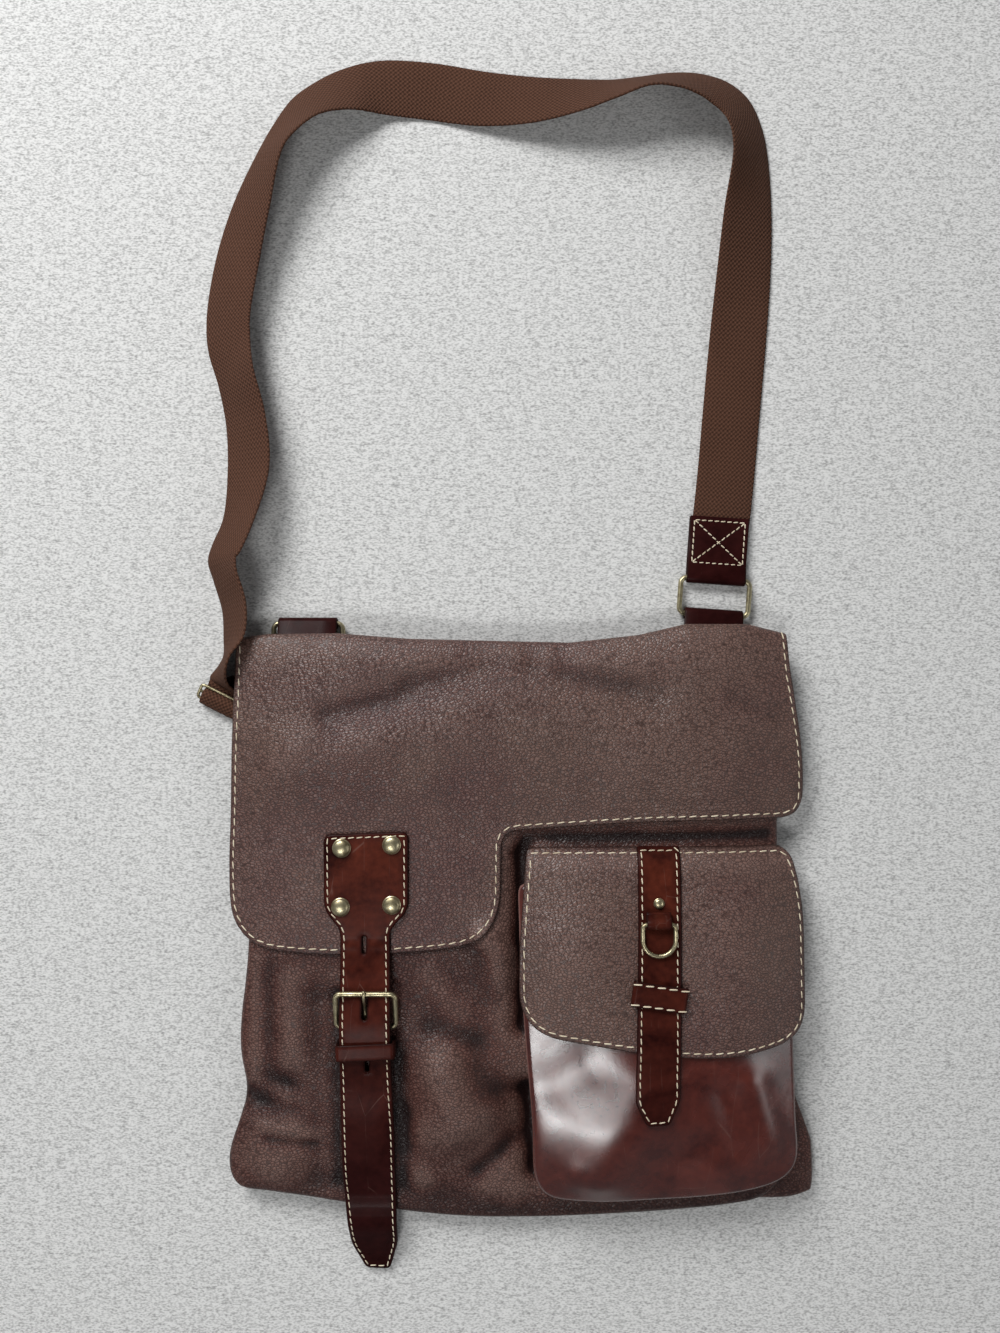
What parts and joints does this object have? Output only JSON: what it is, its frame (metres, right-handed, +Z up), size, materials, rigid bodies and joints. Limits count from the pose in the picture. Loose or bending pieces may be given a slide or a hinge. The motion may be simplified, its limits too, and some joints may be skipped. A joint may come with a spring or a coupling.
{
  "type": "leather messenger bag",
  "caption": "Soft leather messenger bag lying on its back: stepped flap, buckled closure strap, front pocket with its own flap, and a webbing shoulder strap spread out above it.",
  "frame": {"origin": "under the middle of the whole object's bounding box, on the surface it lies on", "axes": "+Z up from the surface the bag lies on, +Y from the bag's bottom edge towards the far bend of the shoulder strap, +X to the right seen from above with the flap's fold upwards"},
  "size_m": [0.4079, 0.8024, 0.051],
  "materials": {
    "pebbled_leather": "dark brown pebbled grain, half matte, worn lighter at the edges",
    "smooth_leather": "glossy burgundy smooth leather",
    "strap_leather": "dark burgundy smooth leather, waxed",
    "webbing": "brown woven cotton webbing",
    "antique_brass": "antique brass, dark in the hollows",
    "thread": "cream waxed thread"
  },
  "bodies": {
    "bag": {"back_panel": "pebbled_leather", "front_panel": "pebbled_leather", "gusset": "pebbled_leather", "main_flap": "pebbled_leather", "closure_strap": "strap_leather", "strap_rivet_1": "antique_brass", "strap_rivet_2": "antique_brass", "strap_rivet_3": "antique_brass", "strap_rivet_4": "antique_brass", "buckle_frame": "antique_brass", "buckle_prong": "antique_brass", "buckle_chape": "strap_leather", "buckle_keeper": "strap_leather", "pocket_front": "smooth_leather", "pocket_gusset": "smooth_leather", "pocket_flap": "pebbled_leather", "pocket_strap": "strap_leather", "pocket_strap_rivet": "antique_brass", "pocket_keeper": "strap_leather", "d_ring_loop": "strap_leather", "shoulder_strap": "webbing", "strap_end_tab": "strap_leather", "strap_ring_right": "antique_brass", "strap_ring_left": "antique_brass", "anchor_tab_right": "strap_leather", "anchor_tab_left": "strap_leather", "strap_slider": "antique_brass"},
    "ring": {"d_ring": "antique_brass"}
  },
  "joints": [
    {"name": "d_ring_swing", "type": "hinge", "parent": "bag", "child": "ring", "pos_m": [0.09661, -0.16248, 0.04759], "axis": [-1, 0, 0], "range_deg": [0, 150]}
  ]
}
